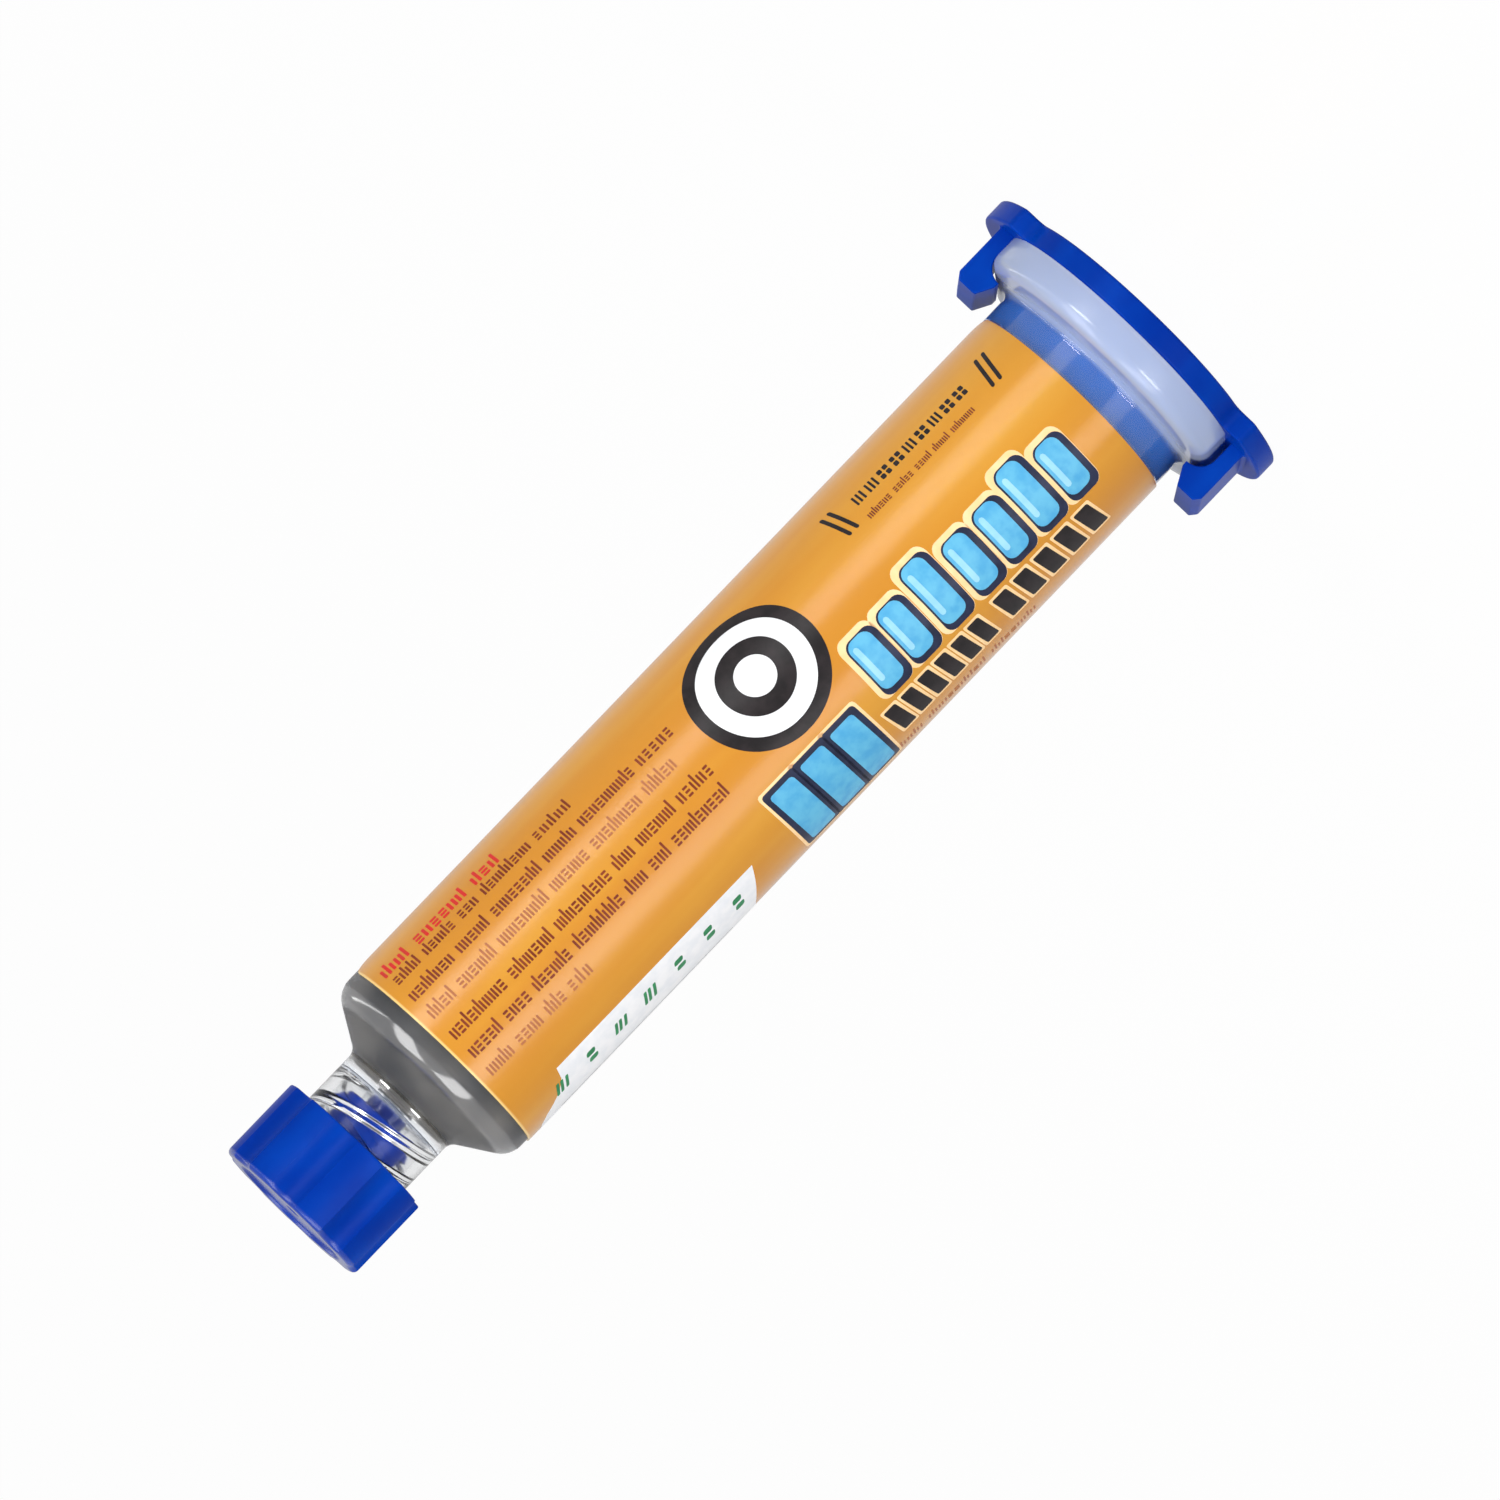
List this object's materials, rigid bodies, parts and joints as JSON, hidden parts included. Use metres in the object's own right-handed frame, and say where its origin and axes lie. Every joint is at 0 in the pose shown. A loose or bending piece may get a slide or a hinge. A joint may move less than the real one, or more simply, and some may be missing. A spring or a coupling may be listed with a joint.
{
  "type": "solder paste syringe",
  "caption": "Luer-lock dispensing barrel of solder paste with a piston inside, a wrap-round label, a fluted screw cap on the tip and a hooked cap over the finger flange.",
  "frame": {"origin": "centre of the end cap's outer face, which the syringe stands on", "axes": "+Z along the barrel towards the tip; the finger flange is long in Y, turned 3.5 degrees about +Z from it; the end cap's hooks and ears are at +X and -X"},
  "size_m": [0.029, 0.029, 0.0943],
  "materials": {
    "barrel": "clear, slightly hazy polypropylene",
    "paste": "smooth grey paste of fine metal powder",
    "piston": "blue polyethylene",
    "end_cap": "blue polyethylene, satin gloss",
    "tip_cap": "blue polyethylene, satin gloss",
    "label": "glossy printed film in orange"
  },
  "bodies": {
    "barrel": {"barrel": "barrel", "solder_paste": "paste", "end_cap": "end_cap", "label": "label"},
    "piston": {"piston": "piston"},
    "tip_cap": {"tip_cap": "tip_cap"}
  },
  "joints": [
    {"name": "piston_slide", "type": "slide", "parent": "barrel", "child": "piston", "axis": [0, 0, 1], "range_m": [0, 0.0468], "deforming": ["solder_paste"]},
    {"name": "tip_cap_lift", "type": "slide", "parent": "barrel", "child": "tip_cap", "axis": [0, 0, 1], "range_m": [0, 0.012]}
  ]
}
